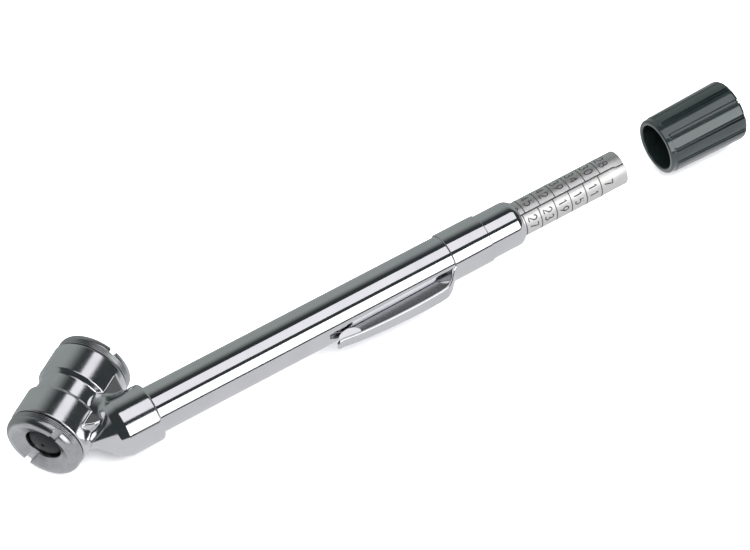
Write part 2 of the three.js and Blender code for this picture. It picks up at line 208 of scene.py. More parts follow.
def rounded(corners, steps=6):
    """A closed profile with rounded corners. A corner is (x, radius) or (x, radius, rounding)."""
    points = []
    for i, corner in enumerate(corners):
        here = np.array(corner[:2], float)
        if len(corner) == 2:
            points.append(here)
            continue
        before = unit(np.array(corners[i - 1][:2]) - here)
        after = unit(np.array(corners[(i + 1) % len(corners)][:2]) - here)
        half = math.acos(np.clip(before @ after, -1, 1)) / 2
        start = here + before * corner[2] / math.tan(half)
        centre = here + unit(before + after) * corner[2] / math.sin(half)
        spoke = start - centre
        side = math.copysign(1, before[0] * after[1] - before[1] * after[0])
        for k in range(steps + 1):
            angle = -side * (math.pi - 2 * half) * k / steps
            turn = np.array([[math.cos(angle), -math.sin(angle)], [math.sin(angle), math.cos(angle)]])
            points.append(centre + turn @ spoke)
    return points


def arc(x, radius, size, from_angle, to_angle, steps):
    """Points of a circular arc in a profile, angles in degrees from +x towards +radius."""
    angles = np.radians(np.linspace(from_angle, to_angle, steps + 1))
    return [np.array([x + size * math.cos(a), radius + size * math.sin(a)]) for a in angles]


def lathe(profile, sides=SIDES):
    """Vertices and faces of a closed profile turned about X. Points on the axis become poles."""
    vertices, rings = [], []
    angles = np.arange(sides) * TURN / sides
    for x, radius in profile:
        first = len(vertices)
        if radius < 1e-6:
            vertices.append((x, 0.0, 0.0))
            rings.append([first] * sides)
            continue
        vertices.extend((x, radius * math.cos(a), radius * math.sin(a)) for a in angles)
        rings.append(list(range(first, first + sides)))
    faces = []
    for a, b in zip(rings, rings[1:] + rings[:1]):
        for i in range(sides):
            j = (i + 1) % sides
            face = list(dict.fromkeys((a[i], a[j], b[j], b[i])))
            if len(face) > 2:
                faces.append(face)
    return vertices, faces


def sweep(sections):
    """Vertices and faces of a closed section swept along its list of loops, capped at both ends."""
    count = len(sections[0])
    vertices = [tuple(point) for loop in sections for point in loop]
    faces = [tuple(range(count)), tuple(range(len(vertices) - count, len(vertices)))[::-1]]
    for s in range(len(sections) - 1):
        for i in range(count):
            j = (i + 1) % count
            a, b = s * count, (s + 1) * count
            faces.append((b + i, b + j, a + j, a + i))
    return vertices, faces


def helix(spring, steps_per_turn=36):
    """A round wire wound about X, with a closed turn at each end."""
    wire, turns = spring["wire"], spring["turns"]
    start, end = spring["start"] + wire, spring["end"] - wire
    rise = CLOSED_RISE * wire
    turned = np.linspace(0, turns, int(turns * steps_per_turn) + 1)
    along = np.interp(turned, (0, CLOSED_TURNS, turns - CLOSED_TURNS, turns),
                      (start, start + rise, end - rise, end))
    sections = []
    for x, angle in zip(along, TURN * turned):
        out = np.array([0.0, math.cos(angle), math.sin(angle)])
        centre = np.array([x, 0.0, 0.0]) + spring["radius"] * out
        sections.append([centre + wire * (math.cos(turn) * out + math.sin(turn) * np.array([1.0, 0, 0]))
                         for turn in TURN * np.arange(WIRE_SIDES) / WIRE_SIDES])
    return sweep(sections)


def signed_volume(points, faces):
    total = 0.0
    for face in faces:
        a = points[face[0]]
        for i in range(1, len(face) - 1):
            total += np.dot(a, np.cross(points[face[i]], points[face[i + 1]]))
    return total


def outward(shape):
    """The shape with its faces pointing out."""
    vertices, faces = shape
    if signed_volume(np.array(vertices, float), faces) < 0:
        faces = [tuple(reversed(face)) for face in faces]
    return vertices, faces


def shade(mesh, sharp):
    """Smooth shading, except at edges that turn more than sharp degrees."""
    mesh.shade_smooth()
    mesh.set_sharp_from_angle(angle=math.radians(sharp))


def mesh_object(name, shape, place, sharp=SHARP):
    """A smooth-shaded object, its mesh set in its place in metres and its faces pointing out."""
    vertices, faces = shape
    matrix = np.array(place)
    points = np.array(vertices, float) @ matrix[:3, :3].T + matrix[:3, 3]
    points, faces = outward((points, faces))
    mesh = bpy.data.meshes.new(name)
    mesh.from_pydata(points.tolist(), [], [tuple(int(i) for i in face) for face in faces])
    shade(mesh, sharp)
    return linked(name, mesh)


def turned(name, corners, place=ALONG_BARREL, sides=SMALL_SIDES, steps=6):
    """A piece turned from a profile with rounded corners."""
    return mesh_object(name, lathe(rounded(corners, steps), sides), place)


def box_shape(low, high):
    corners = [(x, y, z) for x in (low[0], high[0]) for y in (low[1], high[1]) for z in (low[2], high[2])]
    faces = [(0, 1, 3, 2), (4, 6, 7, 5), (0, 4, 5, 1), (2, 3, 7, 6), (0, 2, 6, 4), (1, 5, 7, 3)]
    return corners, faces


def slot_cutter(face, reach, sizes, place):
    """A bar across a round face at x = face, as wide and deep as the sizes' slot."""
    depth, half = sizes["slot_depth"], sizes["slot_width"] / 2
    bar = box_shape((face - depth, -half, -reach), (face + depth, half, reach))
    return mesh_object("slot_cutter", bar, place)


def cut(obj, cutter, bevel):
    """Cuts a slot from obj, rounds the new edges a little and removes the cutter."""
    modifier = obj.modifiers.new("slot", "BOOLEAN")
    modifier.object = cutter
    modifier.solver = "EXACT"
    edge = obj.modifiers.new("edge", "BEVEL")
    edge.width = bevel * MM
    edge.segments = 2
    edge.angle_limit = math.radians(50)
    graph = bpy.context.evaluated_depsgraph_get()
    mesh = bpy.data.meshes.new_from_object(obj.evaluated_get(graph))
    obj.modifiers.clear()
    obj.data = mesh
    shade(mesh, SHARP)
    bpy.data.objects.remove(cutter)
    return obj


def finish_piece(obj, body, node, material):
    obj.data.materials.append(material)
    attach(obj, body)
    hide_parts(node)
    return obj


# ---------------------------------------------------------------- materials


class Nodes:
    """A material's node tree, with short calls for what the finishes need."""

    def __init__(self, name):
        self.material = bpy.data.materials.new(name)
        self.material.use_nodes = True
        self.tree = self.material.node_tree
        self.shader = self.tree.nodes["Principled BSDF"]

    def add(self, kind, **inputs):
        node = self.tree.nodes.new(kind)
        for key, value in inputs.items():
            node.inputs[key.replace("_", " ")].default_value = value
        return node

    def link(self, source, target):
        self.tree.links.new(source, target)

    def set(self, **inputs):
        for key, value in inputs.items():
            self.shader.inputs[key.replace("_", " ")].default_value = value

    def place(self, matrix, stretch=(1, 1, 1)):
        """Coordinates in millimetres along a piece's own axes, then stretched."""
        inverse = matrix.inverted()
        coordinates = self.add("ShaderNodeTexCoord")
        mapping = self.add("ShaderNodeMapping", Location=inverse.translation,
                           Rotation=inverse.to_euler(), Scale=inverse.to_scale())
        self.link(coordinates.outputs["Object"], mapping.inputs["Vector"])
        if stretch == (1, 1, 1):
            return mapping.outputs["Vector"]
        return self.scaled(mapping.outputs["Vector"], stretch)

    def scaled(self, vector, by):
        node = self.add("ShaderNodeVectorMath")
        node.operation = "MULTIPLY"
        node.inputs[1].default_value = by
        self.link(vector, node.inputs[0])
        return node.outputs["Vector"]

    def noise(self, vector, scale, detail=3.0, roughness=0.55):
        node = self.add("ShaderNodeTexNoise", Scale=scale, Detail=detail, Roughness=roughness)
        self.link(vector, node.inputs["Vector"])
        return node.outputs["Fac"]

    def between(self, factor, low, high, from_low=0.3, from_high=0.7):
        node = self.add("ShaderNodeMapRange", From_Min=from_low, From_Max=from_high,
                        To_Min=low, To_Max=high)
        self.link(factor, node.inputs["Value"])
        return node.outputs["Result"]

    def colour(self, factor, low, high):
        """The base colour, between two colours by a factor."""
        node = self.add("ShaderNodeMix")
        node.data_type = "RGBA"
        self.link(self.between(factor, 0, 1), node.inputs["Factor"])
        for name, value in (("A", low), ("B", high)):
            socket = next(s for s in node.inputs if s.name == name and s.type == "RGBA")
            socket.default_value = (*value, 1)
        mixed = next(s for s in node.outputs if s.type == "RGBA")
        self.link(mixed, self.shader.inputs["Base Color"])

    def roughness(self, factor, low, high):
        self.link(self.between(factor, low, high), self.shader.inputs["Roughness"])

    def bump(self, heights):
        """Chains bumps: each is (height socket, strength, depth in millimetres)."""
        normal = None
        for height, strength, depth in heights:
            node = self.add("ShaderNodeBump", Strength=strength, Distance=depth * MM)
            self.link(height, node.inputs["Height"])
            if normal is not None:
                self.link(normal, node.inputs["Normal"])
            normal = node.outputs["Normal"]
        self.link(normal, self.shader.inputs["Normal"])

    def product(self, a, b):
        node = self.add("ShaderNodeMath")
        node.operation = "MULTIPLY"
        self.link(a, node.inputs[0])
        self.link(b, node.inputs[1])
        return node.outputs["Value"]

    def radius_of(self, vector):
        """Distance from the X axis of a piece, in the vector's own units."""
        length = self.add("ShaderNodeVectorMath")
        length.operation = "LENGTH"
        self.link(self.scaled(vector, (0, 1, 1)), length.inputs[0])
        return length.outputs["Value"]


BUFFED_ALONG = (0.25, 4.0, 4.0)  # buffing lines that run along the barrel


def chrome(name, place, polish, rough, ripple, streak=0.002, duller=None):
    """Plated and buffed: fine hairlines, soft orange peel and a faint haze.

    duller is (times rougher, out to this radius, polished from this radius) round the place's X axis.
    """
    nodes = Nodes(name)
    at = nodes.place(place)
    lines = nodes.noise(nodes.place(place, polish), 3.0, 4.0, 0.6)
    peel = nodes.noise(at, 0.35, 2.0)
    haze = nodes.noise(at, 0.12, 4.0)
    nodes.set(Metallic=1.0, IOR=1.5)
    nodes.colour(haze, (0.83, 0.835, 0.85), (0.77, 0.78, 0.8))
    roughness = nodes.between(haze, *rough)
    if duller:
        times, near, far = duller
        roughness = nodes.product(roughness, nodes.between(nodes.radius_of(at), times, 1, near, far))
    nodes.link(roughness, nodes.shader.inputs["Roughness"])
    nodes.bump([(peel, 0.2, 0.02 * ripple), (lines, 0.3, streak)])
    return nodes.material


def lathe_metal(name, place, marks, patches, colours, rough, bump):
    """Metal with the lathe's close rings on its faces and round its rim, and patches of two colours."""
    nodes = Nodes(name)
    at = nodes.place(place)
    rings = nodes.add("ShaderNodeCombineXYZ")
    nodes.link(nodes.radius_of(at), rings.inputs["X"])
    along = nodes.add("ShaderNodeSeparateXYZ")
    nodes.link(at, along.inputs["Vector"])
    nodes.link(along.outputs["X"], rings.inputs["Y"])
    tooling = nodes.noise(rings.outputs["Vector"], *marks)
    nodes.set(Metallic=1.0)
    nodes.colour(nodes.noise(at, *patches), *colours)
    nodes.roughness(tooling, *rough)
    nodes.bump([(tooling, *bump)])
    return nodes.material


def satin_nickel(name, place):
    return lathe_metal(name, place, (9.0, 5.0, 0.7), (0.5, 3.0), ((0.58, 0.59, 0.6), (0.5, 0.51, 0.52)),
                       (0.16, 0.34), (0.3, 0.012))


def turned_brass(name, place=ALONG_BARREL):
    return lathe_metal(name, place, (8.0, 4.0, 0.65), (0.6, 4.0), ((0.78, 0.58, 0.27), (0.58, 0.4, 0.18)),
                       (0.2, 0.38), (0.4, 0.015))


def drawn_steel(name, place=ALONG_BARREL, light=(0.5, 0.51, 0.53), dark=(0.36, 0.37, 0.39)):
    """Bare or thinly plated steel, dull in fine streaks."""
    nodes = Nodes(name)
    streaks = nodes.noise(nodes.place(place), 4.0, 4.0)
    nodes.set(Metallic=1.0)
    nodes.colour(streaks, light, dark)
    nodes.roughness(streaks, 0.22, 0.4)
    nodes.bump([(streaks, 0.3, 0.01)])
    return nodes.material


def moulded_rubber(name, place=ALONG_BARREL):
    """Black rubber with a fine grain and a little bloom."""
    nodes = Nodes(name)
    at = nodes.place(place)
    grain = nodes.noise(at, 9.0, 4.0)
    bloom = nodes.noise(at, 0.7, 3.0)
    nodes.set(Metallic=0.0, Specular_IOR_Level=0.3)
    nodes.colour(bloom, (0.003, 0.005, 0.0055), (0.007, 0.01, 0.0105))
    nodes.roughness(bloom, 0.26, 0.38)
    nodes.bump([(grain, 0.3, 0.02)])
    return nodes.material


def moulded_plastic(name, dark, light, rough, shine):
    """Moulded plastic with faint flow marks along it and a fine grain."""
    nodes = Nodes(name)
    grain = nodes.noise(nodes.place(ALONG_BARREL), 7.0, 4.0)
    flow = nodes.noise(nodes.place(ALONG_BARREL, (0.2, 1, 1)), 0.6, 3.0)
    nodes.set(Metallic=0.0, Specular_IOR_Level=shine, Specular_Tint=(0.9, 1.0, 1.0, 1.0),
              Coat_Weight=shine, Coat_Roughness=0.08)
    nodes.colour(flow, dark, light)
    nodes.roughness(grain, *rough)
    nodes.bump([(flow, 0.15, 0.03), (grain, 0.15, 0.01)])
    return nodes.material


def bar_metal(name):
    """Rolled sheet with a satin plate, rubbed along its length, dulled in patches."""
    nodes = Nodes(name)
    rub = nodes.noise(nodes.place(ALONG_BARREL, (0.12, 3.0, 3.0)), 2.5, 4.0, 0.6)
    patch = nodes.noise(nodes.place(ALONG_BARREL), 0.5, 4.0)
    nodes.set(Metallic=1.0)
    nodes.colour(patch, (0.93, 0.925, 0.91), (0.84, 0.835, 0.82))
    nodes.roughness(rub, 0.38, 0.5)
    nodes.bump([(rub, 0.3, 0.01), (patch, 0.2, 0.03)])
    return nodes.material


def filled_mark(name):
    """Dark filling in the stamped scale, worn a little unevenly. The same dark also lies along the bar's
    seam as painted shade.
    """
    nodes = Nodes(name)
    wear = nodes.noise(nodes.place(ALONG_BARREL), 3.0, 4.0)
    nodes.colour(wear, (0.012, 0.012, 0.013), (0.04, 0.04, 0.043))
    nodes.roughness(wear, 0.6, 0.8)
    nodes.set(Specular_IOR_Level=0.1)
    nodes.bump([(wear, 0.3, 0.01)])
    return nodes.material


# ---------------------------------------------------------------- chuck casting

CELL = 0.19  # grid of the casting's surface, in millimetres
STRIDE = 4  # grid steps between the samples that find where the surface runs
FILLET = 0.7  # how softly the casting's parts run together
PAST = 1.0  # how far a hole runs on into a hollow it opens into
NEAR = 1.3  # how near the surface a sample is made exact, in strides
LEAST_SLOPE = 0.3  # keeps a vertex from jumping where the field is nearly flat
CORNERS = [(i, j, k) for i in (0, 1) for j in (0, 1) for k in (0, 1)]


def outline_distance(outline, x, y):
    """Distance to a flat outline, less than zero inside."""
    nearest = np.full(x.shape, np.inf, np.float32)
    inside = np.zeros(x.shape, bool)
    corners = np.array(outline, np.float32)
    for a, b in zip(corners, np.roll(corners, -1, 0)):
        edge = b - a
        px, py = x - a[0], y - a[1]
        share = np.clip((px * edge[0] + py * edge[1]) / (edge @ edge), 0, 1)
        nearest = np.minimum(nearest, (px - share * edge[0]) ** 2 + (py - share * edge[1]) ** 2)
        crosses = (a[1] > y) != (b[1] > y)
        if abs(edge[1]) > 1e-9:
            inside ^= crosses & (x < a[0] + py * edge[0] / edge[1])
    return np.where(inside, -1, 1) * np.sqrt(nearest)


def profile_distance(profile, x, radius):
    """Distance to a turned profile that starts and ends on the axis, less than zero inside."""
    past_axis = -60.0  # deep enough that the closing edges are never the nearest
    outline = [*profile, (profile[-1][0], past_axis), (profile[0][0], past_axis)]
    return outline_distance(outline, x, radius)


def smooth_union(a, b, size):
    share = np.clip(0.5 + 0.5 * (b - a) / size, 0, 1)
    return b + (a - b) * share - size * share * (1 - share)


HEAD_IN_BARREL = ALONG_BARREL.inverted() @ ALONG_HEAD
head_at = np.array(HEAD_IN_BARREL.translation)
head_along = np.array(HEAD_IN_BARREL.col[0][:3])


def rounded_corner(a, b, size):
    """Where two distances are both less than zero, with the edge between them rounded."""
    a, b = a + size, b + size
    outside = np.sqrt(np.maximum(a, 0) ** 2 + np.maximum(b, 0) ** 2)
    return outside + np.minimum(np.maximum(a, b), 0) - size


def along_line(points, start, way):
    """Distance along a line, and from it."""
    offset = points - np.asarray(start, np.float32)
    along = offset @ np.asarray(way, np.float32)
    across = np.sqrt(np.maximum((offset**2).sum(-1) - along**2, 0))
    return along, across


def drum_profile():
    half = [
        (HEAD["bevel_inner"], HEAD["waist"], 0.3),
        (HEAD["bevel_outer"], HEAD["drum"], 0.28),
        (HEAD["drum_end"], HEAD["drum"], 0.3),
        (HEAD["drum_end"], 0),
    ]
    mirrored = [(-c[0], *c[1:]) for c in half][::-1]
    return rounded([*mirrored, *half], steps=4)


def collar_profile():
    return rounded([
        (COLLAR["cone_tip"], 0),
        (COLLAR["cone_tip"], COLLAR["tip_radius"]),
        (COLLAR["back"] - COLLAR["shoulder_round"], COLLAR["shoulder"], 0.5),
        (COLLAR["back"], COLLAR["radius"], 1.2),
        (0, COLLAR["radius"], COLLAR["edge"]),
        (0, 0),
    ], steps=5)


def foot_bore_profile():
    past = HEAD["drum_end"] + 3 * PAST
    return [
        (HEAD["web"], 0), (HEAD["web"], HEAD["chamber"]), (HEAD["thread_floor"], HEAD["chamber"]),
        (HEAD["thread_floor"], HEAD["thread"]), (past, HEAD["thread"]), (past, 0),
    ]


def casting_field(points):
    """Signed distance, near enough, to the casting at points in millimetres along the barrel."""
    points = points.astype(np.float32)
    head_x, head_radius = along_line(points, head_at, head_along)
    barrel_x, barrel_radius = along_line(points, (0, 0, 0), (1, 0, 0))
    drums = profile_distance(drum_profile(), head_x, head_radius)
    collar = profile_distance(collar_profile(), barrel_x, barrel_radius)
    neck_start = np.array([NECK["collar_x"], 0, 0])
    reach = np.linalg.norm(head_at - neck_start)
    neck_x, neck_radius = along_line(points, neck_start, (head_at - neck_start) / reach)
    taper = NECK["collar_radius"] + (NECK["head_radius"] - NECK["collar_radius"]) * neck_x / reach
    neck = np.maximum(neck_radius - taper, np.maximum(-neck_x, neck_x - reach))
    plan = outline_distance(GUSSET_OUTLINE, points[..., 0], points[..., 1])
    gusset = rounded_corner(plan, np.abs(points[..., 2]) - GUSSET["half"], GUSSET["edge"])
    solid = smooth_union(smooth_union(collar, neck, FILLET), drums, FILLET)
    solid = smooth_union(solid, gusset, FILLET / 2)
    for side in (1, -1):
        bore = profile_distance(foot_bore_profile(), head_x * side, head_radius)
        solid = np.maximum(solid, -bore)
    solid = np.maximum(solid, -np.maximum(head_radius - HEAD["web_hole"], np.abs(head_x) - 2 * PAST))
    solid = np.maximum(solid, -np.maximum(barrel_radius - COLLAR["bore"], COLLAR["floor"] - barrel_x))
    floor_at = np.array([COLLAR["floor"], 0, 0])
    airway_x, airway_radius = along_line(points, floor_at, unit(head_at - floor_at))
    end = np.linalg.norm(head_at - floor_at)
    airway = np.maximum(airway_radius - HEAD["airway"], np.maximum(-PAST - airway_x, airway_x - end))
    return np.maximum(solid, -airway)


def sampled(field, low, high, cell):
    """The field on a grid: coarse samples, made exact wherever the surface may be near."""
    counts = [math.ceil((b - a) / cell / STRIDE) * STRIDE + 1 for a, b in zip(low, high)]
    coarse = np.stack(np.meshgrid(*[np.arange(0, n, STRIDE) for n in counts], indexing="ij"), -1)
    distances = field(np.array(low) + cell * coarse)
    nearest = [np.rint(np.arange(n) / STRIDE).astype(int) for n in counts]
    values = distances[np.ix_(*nearest)]
    close = np.argwhere(np.abs(values) < STRIDE * cell * NEAR)
    values[tuple(close.T)] = field(np.array(low) + cell * close)
    return values


def crossing_means(values, cells, cell):
    """In each cell, the mean of the points where its edges cross the surface, from the grid's start."""
    total = np.zeros((len(cells), 3))
    crossings = np.zeros(len(cells))
    for corner in CORNERS:
        for axis in range(3):
            if corner[axis]:
                continue
            other = tuple(v + (n == axis) for n, v in enumerate(corner))
            here, there = values[tuple((cells + corner).T)], values[tuple((cells + other).T)]
            crossed = (here < 0) != (there < 0)
            share = np.where(crossed, here / np.where(crossed, here - there, 1), 0)
            point = cells + np.array(corner) + share[:, None] * (np.arange(3) == axis)
            total += point * crossed[:, None]
            crossings += crossed
    return cell * total / crossings[:, None]


def crossing_quads(inside, index):
    """A quad round each grid edge that crosses the surface, joining the four cells about it."""
    quads = []
    for axis in range(3):
        change = np.diff(inside.astype(np.int8), axis=axis)
        u, v = [n for n in range(3) if n != axis]
        at = np.argwhere(change != 0)
        at = at[(at[:, u] > 0) & (at[:, v] > 0)]
        around_edge = []
        for du, dv in ((-1, -1), (0, -1), (0, 0), (-1, 0)):
            neighbour = at.copy()
            neighbour[:, u] += du
            neighbour[:, v] += dv
            around_edge.append(index[tuple(neighbour.T)])
        quad = np.stack(around_edge, 1)
        sign = change[tuple(at.T)]
        flip = (sign > 0) if axis != 1 else (sign < 0)
        quad[flip] = quad[flip][:, ::-1]
        quads.append(quad)
    return np.concatenate(quads)


def surface_net(field, low, high, cell):
    """A quad mesh of the field's zero surface, with each vertex drawn on to it, and its normals."""
    values = sampled(field, low, high, cell)
    inside = values < 0
    a, b, c = np.array(inside.shape) - 1
    corners_inside = sum(inside[i:i + a, j:j + b, k:k + c].astype(int) for i, j, k in CORNERS)
    active = (corners_inside > 0) & (corners_inside < len(CORNERS))
    index = np.full(active.shape, -1)
    index[active] = np.arange(active.sum())
    points = np.array(low) + crossing_means(values, np.argwhere(active), cell)
    for _ in range(2):
        slope = gradient(field, points, cell / 4)
        length = np.maximum((slope**2).sum(1, keepdims=True), LEAST_SLOPE)
        step = field(points)[:, None] * slope / length
        points = points - np.clip(step, -cell / 2, cell / 2)
    normals = gradient(field, points, cell / 3)
    normals /= np.linalg.norm(normals, axis=1, keepdims=True)
    return points, crossing_quads(inside, index), normals


def gradient(field, points, step):
    result = np.empty(points.shape)
    for axis in range(3):
        offset = np.zeros(3)
        offset[axis] = step
        result[:, axis] = (field(points + offset) - field(points - offset)) / (2 * step)
    return result


def chuck_casting():
    low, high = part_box("chuck_body")
    to_barrel = ALONG_BARREL.inverted()
    low, high = np.array(to_barrel @ low) - 2 * CELL, np.array(to_barrel @ high) + 2 * CELL
    points, quads, normals = surface_net(casting_field, low, high, CELL)
    obj = mesh_object("chuck_casting", (points, quads.tolist()), ALONG_BARREL, sharp=180)
    obj.data.normals_split_custom_set_from_vertices(normals.tolist())
    return obj


finish_piece(
    chuck_casting(), "gauge_body", "chuck_body",
    chrome("chuck_chrome", ALONG_HEAD, (5.0, 0.35, 0.35), (0.08, 0.13), 1.0, 0.014, (1.35, 9.4, 12.5)),
)

# ---------------------------------------------------------------- the two feet


def retaining_ring(name, place, lean):
    seat, rim, radius, crest = RING["seat"], RING["rim"], RING["radius"], RING["spigot"]
    thread, grooves = [], []
    for k in range(THREAD["turns"]):
        x = RING["spigot_end"] + THREAD["start"] + THREAD["pitch"] * k
        thread += [(x, crest - THREAD["depth"]), (x + THREAD["pitch"] / 2, crest)]
    for k in range(1, RIM_GROOVE["count"] + 1):
        x, half = seat + RIM_GROOVE["pitch"] * k, RIM_GROOVE["half"]
        grooves += [(x - half, radius), (x, radius - RIM_GROOVE["depth"]), (x + half, radius)]
    ring = turned(name, [
        (RING["spigot_end"], RING["hole"], 0.15),
        (RING["spigot_end"], crest - 0.2, 0.1),
        *thread,
        (seat, crest - 0.2),
        (seat, radius, 0.12),
        *grooves,
        (rim, radius, RING["round"]),
        (rim, RING["dish_radius"], 0.35),
        (rim - RING["dish_depth"], RING["hole"], 0.3),
    ], place, SIDES, steps=9)
    turn = Matrix.Rotation(math.radians(lean), 4, "X")
    return cut(ring, slot_cutter(rim, radius + 2, RING, place @ turn), bevel=0.1)


def rubber_seal(name, place):
    rise = SEAL["apex"] - SEAL["dome_foot"]
    dome = [(SEAL["dome_foot"] + rise * math.sin(a), SEAL["nose"] * math.cos(a))
            for a in np.radians(np.linspace(0, 72, 13))]
    return turned(name, [
        (SEAL["bottom"], SEAL["eye"], 0.1),
        (SEAL["bottom"], SEAL["flange"], 0.2),
        (SEAL["top"], SEAL["flange"], 0.2),
        (SEAL["top"], SEAL["nose"], 0.3),
        *dome,
        (SEAL["apex"], SEAL["eye"], 0.08),
    ], place)


def brass_plunger(name, place):
    return turned(name, [
        (PLUNGER["stem_end"], 0),
        (PLUNGER["stem_end"], PLUNGER["stem"], 0.25),
        (PLUNGER["bottom"], PLUNGER["stem"], 0.2),
        (PLUNGER["bottom"], PLUNGER["disc"], 0.15),
        (PLUNGER["top"], PLUNGER["disc"], 0.15),
        (PLUNGER["top"], PLUNGER["pin"] + 0.4, 0.15),
        (PLUNGER["top"] + 0.5, PLUNGER["pin"], 0.1),
        (PLUNGER["pin_top"], PLUNGER["pin"], 0.3),
        (PLUNGER["pin_top"], 0),
    ], place)


def foot(side, place, lean):
    ring = retaining_ring(f"{side}_valve_ring", place, lean)
    finish_piece(ring, "gauge_body", f"{side}_retaining_ring",
                 satin_nickel(f"{side}_ring_nickel", place))
    finish_piece(rubber_seal(f"{side}_rubber_nose", place), f"{side}_valve", f"{side}_seal",
                 moulded_rubber(f"{side}_nose_rubber", place))
    finish_piece(brass_plunger(f"{side}_core_pin", place), f"{side}_valve", f"{side}_plunger",
                 turned_brass(f"{side}_pin_brass", place))
    spring = mesh_object(f"{side}_valve_spring", helix(VALVE_SPRING), place)
    finish_piece(spring, "gauge_body", f"{side}_plunger_spring",
                 drawn_steel(f"{side}_spring_steel", place))
    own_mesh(spring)


foot("front", FRONT_FOOT, RING["front_lean"])
foot("rear", REAR_FOOT, RING["rear_lean"])

# ---------------------------------------------------------------- barrel and what it holds


def barrel_tube():
    radius, bore, mouth = BARREL["radius"], BARREL["bore"], BARREL["mouth"]
    size = BARREL["nose_round"]
    centre = radius - size
    wall = radius - bore
    outer_end = math.degrees(math.asin((mouth + 0.2 - centre) / size))
    inner_end = math.degrees(math.asin((mouth - centre) / (size - wall)))
    profile = [
        (BARREL["inlet"], bore),
        (BARREL["inlet"], radius - 0.1),
        (BARREL["inlet"] + 0.1, radius),
        *arc(BARREL["shoulder"], centre, size, 90, outer_end, 24),
        *arc(BARREL["shoulder"], centre, size - wall, inner_end, 90, 16),
    ]
    return mesh_object("barrel_shell", lathe(profile, TUBE_SIDES), ALONG_BARREL)


finish_piece(barrel_tube(), "gauge_body", "barrel_tube",
             chrome("barrel_chrome", ALONG_BARREL, BUFFED_ALONG, (0.035, 0.075), 0.5))


def sleeve(name, sizes, inner_edge, outer_edge, sides):
    """A plain sleeve with rounded edges."""
    return turned(name, [
        (sizes["start"], sizes["inner"], inner_edge),
        (sizes["start"], sizes["outer"], outer_edge),
        (sizes["end"], sizes["outer"], outer_edge),
        (sizes["end"], sizes["inner"], inner_edge),
    ], sides=sides)


band = sleeve("clip_collar", BAND, BAND["edge"] / 2, BAND["edge"], TUBE_SIDES)
finish_piece(band, "gauge_body", "clip_band",
             chrome("band_chrome", ALONG_BARREL, BUFFED_ALONG, (0.035, 0.08), 0.6))
finish_piece(sleeve("bar_guide", BUSH, 0.06, 0.12, SIDES), "gauge_body", "nose_bush",
             turned_brass("guide_brass"))
finish_piece(sleeve("barrel_gasket", GASKET, 0.15, 0.25, SMALL_SIDES), "gauge_body", "inlet_gasket",
             moulded_rubber("gasket_rubber"))

main_spring = mesh_object("reading_spring", helix(MAIN_SPRING, steps_per_turn=28), ALONG_BARREL)
finish_piece(main_spring, "gauge_body", "calibrated_spring",
             drawn_steel("reading_spring_steel"))
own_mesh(main_spring)


def piston_head():
    return turned("piston_head", [
        (PISTON["stem_end"], 0),
        (PISTON["stem_end"], PISTON["stem"], 0.15),
        (PISTON["disc_back"], PISTON["stem"], 0.1),
        (PISTON["disc_back"], PISTON["disc"], 0.15),
        (PISTON["disc_front"], PISTON["disc"], 0.15),
        (PISTON["disc_front"], PISTON["boss"], 0.15),
        (PISTON["face"], PISTON["boss"], 0.3),
        (PISTON["face"], 0),
    ])


finish_piece(piston_head(), "piston", "piston", turned_brass("piston_brass"))


def cup_seal():
    return turned("piston_cup", [
        (CUP["web_back"], CUP["inner"], 0.1),
        (CUP["web_back"], CUP["lip"], 0.4),
        (CUP["lip_end"], CUP["lip"] + 0.15, 0.12),
        (CUP["lip_end"], CUP["outer"], 0.12),
        (CUP["front"], CUP["outer"] - 0.1, 0.5),
        (CUP["front"], CUP["inner"], 0.1),
    ])


finish_piece(cup_seal(), "piston", "piston_cup_seal", moulded_rubber("cup_rubber"))


def slotted_screw():
    front, back = SCREW["front"], SCREW["front"] - SCREW["thickness"]
    screw = turned("cup_screw", [
        (back, 0), (back, SCREW["radius"], 0.35), (front, SCREW["radius"], 0.1), (front, 0),
    ])
    return cut(screw, slot_cutter(back, SCREW["radius"] + 1, SCREW, ALONG_BARREL), bevel=0.05)


finish_piece(slotted_screw(), "piston", "piston_screw", drawn_steel("screw_steel"))

# ---------------------------------------------------------------- indicator bar


def ease(value):
    value = np.clip(value, 0, 1)
    return value * value * (3 - 2 * value)


def around(radius, lean):
    """A point round the barrel's axis; lean is in degrees from straight up towards -Y."""
    angle = math.radians(lean)
    return np.array([0.0, -radius * math.sin(angle), radius * math.cos(angle)])


def seam_lean(x):
    jog = math.degrees(BAR["jog"] / BAR["radius"])
    return BAR["seam_lean"] + jog * ease((x - (BAR["tip"] - BAR["jog_length"])) / BAR["jog_run"])


